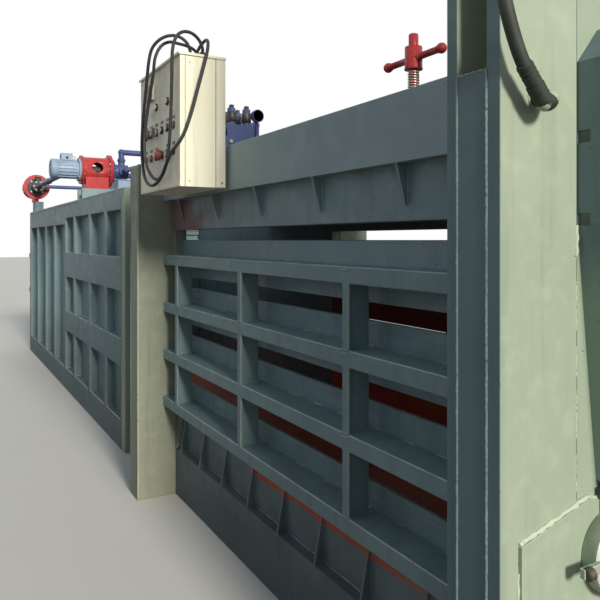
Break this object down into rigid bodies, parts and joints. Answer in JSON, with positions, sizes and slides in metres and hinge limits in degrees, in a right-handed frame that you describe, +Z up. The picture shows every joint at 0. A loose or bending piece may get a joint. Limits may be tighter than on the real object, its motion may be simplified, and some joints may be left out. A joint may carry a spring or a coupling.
{
  "type": "recycling baler",
  "caption": "Long horizontal baler with a slotted bale chamber, a hydraulic ram, a lift gate in an end portal, roof-mounted pump sets and a side control cabinet.",
  "frame": {"origin": "middle of the underside of the wide sleeper, on the ground under the machine's centreline", "axes": "+X along the machine towards the gate, +Y to the side away from the operator, +Z up"},
  "size_m": [9.335, 2.004, 3.79],
  "materials": {
    "green_paint": "grey-green machine enamel, sprayed, worn on the edges",
    "green_light": "same enamel on the portal and frames, faded by the sun",
    "inner_primer": "red-oxide primer, rubbed",
    "wall_paint": "grey-green enamel on the wall strips",
    "cream_paint": "cream powder coat",
    "red_paint": "red gloss enamel",
    "blue_paint": "dark blue enamel",
    "grey_blue_paint": "light grey-blue enamel",
    "bright_steel": "ground and chromed",
    "blade_steel": "ground tool steel",
    "dark_metal": "dark castings",
    "galvanised_pipe": "drawn steel pipe",
    "black_plastic": "moulded black plastic",
    "green_plastic": "moulded green plastic",
    "red_plastic": "moulded red plastic",
    "lamp_plastic": "moulded lamp lens",
    "hose_rubber": "oil-resistant rubber cover",
    "cable_sheath": "black cable sheath"
  },
  "bodies": {
    "machine": {"base_frame": "green_paint", "chamber_floor": "inner_primer", "right_wall_strips": "wall_paint", "left_wall_strips": "wall_paint", "right_shelf_rails": "green_paint", "left_shelf_rails": "green_paint", "right_top_girder": "green_paint", "left_top_girder": "green_paint", "roof_frame": "green_paint", "middle_frame": "green_light", "right_portal_column": "green_light", "left_portal_column": "green_light", "portal_crosshead": "green_light", "feed_frame": "green_light", "right_rear_panel": "green_paint", "left_rear_panel": "green_paint", "right_box_wall": "green_paint", "left_box_wall": "green_paint", "rear_deck": "green_paint", "rear_end_plate": "green_paint", "bulkhead": "green_paint", "fixed_shear_blade": "blade_steel", "main_cylinder_barrel": "dark_metal", "gate_cylinder_barrel": "dark_metal", "front_motor": "grey_blue_paint", "front_bell_housing": "red_paint", "front_pump": "blue_paint", "rear_motor": "grey_blue_paint", "rear_bell_housing": "red_paint", "rear_pump": "dark_metal", "oil_tank": "grey_blue_paint", "valve_manifold": "blue_paint", "pipework": "blue_paint", "cabinet_shell": "cream_paint", "control_panel": "cream_paint", "panel_lamps": "lamp_plastic", "gate_hose": "hose_rubber", "cabinet_cable": "cable_sheath", "spare_cable": "cable_sheath"},
    "ram": {"main_piston_rod": "bright_steel", "ram_platen": "green_paint", "ram_top_cover": "green_paint", "ram_shear_blade": "blade_steel"},
    "gate": {"gate": "green_paint", "gate_cylinder_rod": "bright_steel"},
    "right_gate_lock": {"right_gate_lock": "green_light"},
    "left_gate_lock": {"left_gate_lock": "green_light"},
    "pressure_plate": {"pressure_plate": "green_paint"},
    "tension_screw": {"tension_screw": "red_paint"},
    "front_rotor": {"front_coupling": "dark_metal"},
    "rear_rotor": {"rear_coupling": "dark_metal"},
    "filler_cap": {"filler_cap": "black_plastic"},
    "cabinet_door": {"cabinet_door": "cream_paint"},
    "door_latch": {"door_latch": "black_plastic"},
    "selector_1": {"selector_1": "black_plastic"},
    "selector_2": {"selector_2": "black_plastic"},
    "selector_3": {"selector_3": "black_plastic"},
    "start_button": {"start_button": "green_plastic"},
    "stop_button": {"stop_button": "red_plastic"},
    "emergency_stop": {"emergency_stop": "red_plastic"}
  },
  "joints": [
    {"name": "ram_slide", "type": "slide", "parent": "machine", "child": "ram", "axis": [1, 0, 0], "range_m": [0, 2.85]},
    {"name": "gate_lift", "type": "slide", "parent": "machine", "child": "gate", "axis": [0, 0, 1], "range_m": [0, 1.25]},
    {"name": "right_lock_turn", "type": "hinge", "parent": "machine", "child": "right_gate_lock", "pos_m": [4.033, -0.5, 0.83], "axis": [-1, 0, 0], "range_deg": [0, 90]},
    {"name": "left_lock_turn", "type": "hinge", "parent": "machine", "child": "left_gate_lock", "pos_m": [4.033, 0.5, 0.83], "axis": [1, 0, 0], "range_deg": [0, 90]},
    {"name": "pressure_slide", "type": "slide", "parent": "machine", "child": "pressure_plate", "axis": [0, 0, -1], "range_m": [0, 0.06]},
    {"name": "screw_turn", "type": "hinge", "parent": "pressure_plate", "child": "tension_screw", "pos_m": [2.68, 0, 2.3], "axis": [0, 0, 1], "range_deg": [0, 1800]},
    {"name": "front_shaft", "type": "hinge", "parent": "machine", "child": "front_rotor", "pos_m": [-1.9, -0.46, 2.33], "axis": [0, 1, 0], "continuous": true},
    {"name": "rear_shaft", "type": "hinge", "parent": "machine", "child": "rear_rotor", "pos_m": [-4.6, -0.69, 2.33], "axis": [1, 0, 0], "continuous": true},
    {"name": "filler_cap_turn", "type": "hinge", "parent": "machine", "child": "filler_cap", "pos_m": [-3.95, 0.21, 2.39], "axis": [0, 0, 1], "range_deg": [0, 90]},
    {"name": "cabinet_door_hinge", "type": "hinge", "parent": "machine", "child": "cabinet_door", "pos_m": [1.496, -0.712, 2.163], "axis": [0, 0, -1], "range_deg": [0, 90]},
    {"name": "latch_turn", "type": "hinge", "parent": "cabinet_door", "child": "door_latch", "pos_m": [1.49, -0.91, 2.163], "axis": [1, 0, 0], "range_deg": [0, 90]},
    {"name": "selector_1_turn", "type": "hinge", "parent": "machine", "child": "selector_1", "pos_m": [1.61, -0.95, 2.152], "axis": [0, -1, 0], "range_deg": [-45, 45]},
    {"name": "selector_2_turn", "type": "hinge", "parent": "machine", "child": "selector_2", "pos_m": [1.698, -0.95, 2.152], "axis": [0, -1, 0], "range_deg": [-45, 45]},
    {"name": "selector_3_turn", "type": "hinge", "parent": "machine", "child": "selector_3", "pos_m": [1.786, -0.95, 2.152], "axis": [0, -1, 0], "range_deg": [-45, 45]},
    {"name": "start_button_push", "type": "slide", "parent": "machine", "child": "start_button", "axis": [0, 1, 0], "range_m": [0, 0.004], "stiffness_N_per_m": 400},
    {"name": "stop_button_push", "type": "slide", "parent": "machine", "child": "stop_button", "axis": [0, 1, 0], "range_m": [0, 0.004], "stiffness_N_per_m": 400},
    {"name": "emergency_stop_push", "type": "slide", "parent": "machine", "child": "emergency_stop", "axis": [0, 1, 0], "range_m": [0, 0.008], "stiffness_N_per_m": 600}
  ],
  "couplings": [
    {"joint": "pressure_slide", "follows": "screw_turn", "m_per_rad": 0.0019099}
  ]
}
